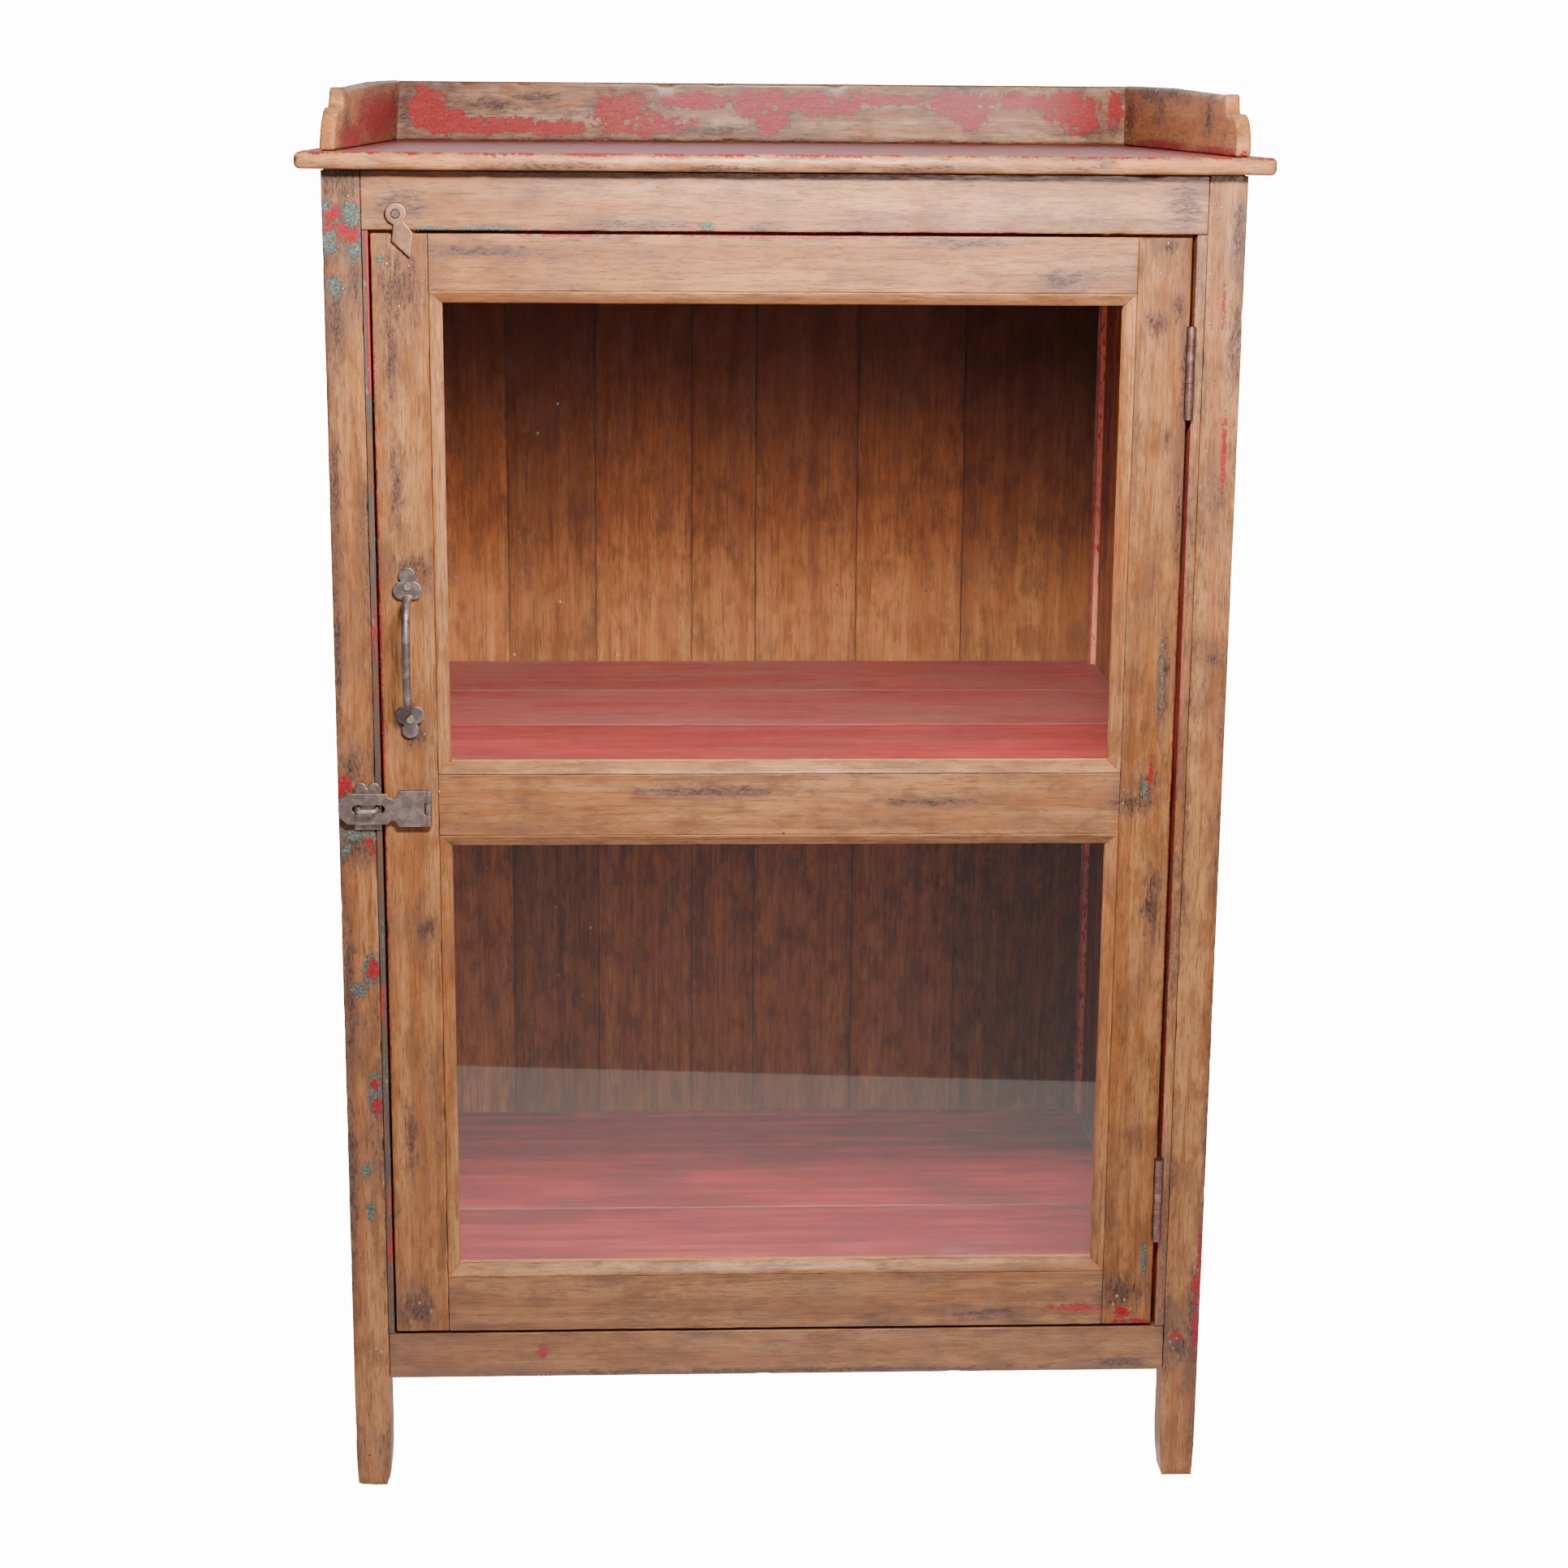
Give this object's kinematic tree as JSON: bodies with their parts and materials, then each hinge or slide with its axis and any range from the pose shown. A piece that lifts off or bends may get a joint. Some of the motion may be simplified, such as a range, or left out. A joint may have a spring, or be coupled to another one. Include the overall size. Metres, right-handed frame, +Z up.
{
  "type": "glazed cabinet",
  "caption": "Upright wooden cabinet with one framed glass door, a shelf, square legs and a low gallery round its top.",
  "frame": {"origin": "centre of the footprint, on the surface that the four feet stand on", "axes": "+Z up, the door faces -Y, +X is on the right of someone facing the door"},
  "size_m": [0.7948, 0.6276, 1.2291],
  "materials": {
    "teak": "bare worn teak with dark stains and paint remnants",
    "teak_inside": "oiled teak boards, satin",
    "painted_teak": "teak with rubbed red and grey-green paint",
    "red_paint": "worn red paint on planks",
    "aged_iron": "aged dull iron, rubbed bright on the edges",
    "glass": "old clear window glass"
  },
  "bodies": {
    "carcass": {"front_left_post": "teak", "front_right_post": "teak", "rear_left_post": "teak", "rear_right_post": "teak", "front_top_rail": "teak", "front_bottom_rail": "teak", "rear_top_rail": "teak", "rear_bottom_rail": "teak", "left_top_rail": "teak", "left_bottom_rail": "teak", "right_top_rail": "teak", "right_bottom_rail": "teak", "top_board": "teak", "back_board_1": "teak_inside", "back_board_2": "teak_inside", "back_board_3": "teak_inside", "back_board_4": "teak_inside", "back_board_5": "teak_inside", "back_board_6": "teak_inside", "back_board_7": "teak_inside", "left_panel": "teak_inside", "right_panel": "teak_inside", "left_shelf_bearer": "teak_inside", "right_shelf_bearer": "teak_inside", "left_floor_bearer": "teak_inside", "right_floor_bearer": "teak_inside", "shelf_plank_front": "red_paint", "shelf_plank_middle": "red_paint", "shelf_plank_rear": "red_paint", "floor_plank_front": "red_paint", "floor_plank_middle": "red_paint", "floor_plank_rear": "red_paint", "left_jamb_strip": "painted_teak", "right_jamb_strip": "painted_teak", "gallery_back": "painted_teak", "gallery_left": "painted_teak", "gallery_right": "painted_teak", "upper_hinge_frame_leaf": "aged_iron", "upper_hinge_pin": "aged_iron", "lower_hinge_frame_leaf": "aged_iron", "lower_hinge_pin": "aged_iron", "staple_plate": "aged_iron", "staple": "aged_iron", "turn_button_screw": "aged_iron"},
    "door": {"door_left_stile": "teak", "door_right_stile": "teak", "door_bottom_rail": "teak", "door_middle_rail": "teak", "door_top_rail": "teak", "lower_glass": "glass", "upper_glass": "glass", "upper_hinge_door_leaf": "aged_iron", "lower_hinge_door_leaf": "aged_iron", "pull_handle": "aged_iron", "handle_screw_upper": "aged_iron", "handle_screw_lower": "aged_iron", "hasp_leaf": "aged_iron", "hasp_pin": "aged_iron"},
    "hasp_arm": {"hasp_arm": "aged_iron"},
    "turn_button": {"turn_button": "aged_iron"}
  },
  "joints": [
    {"name": "door_hinge", "type": "hinge", "parent": "carcass", "child": "door", "pos_m": [0.3348, -0.282, 0.631], "axis": [0, 0, 1], "range_deg": [0, 110]},
    {"name": "hasp_hinge", "type": "hinge", "parent": "door", "child": "hasp_arm", "pos_m": [-0.3005, -0.2838, 0.6266], "axis": [0, 0, 1], "range_deg": [0, 175]},
    {"name": "turn_button_pivot", "type": "hinge", "parent": "carcass", "child": "turn_button", "pos_m": [-0.3174, -0.2816, 1.1213], "axis": [0, -1, 0], "range_deg": [-165, 130]}
  ]
}
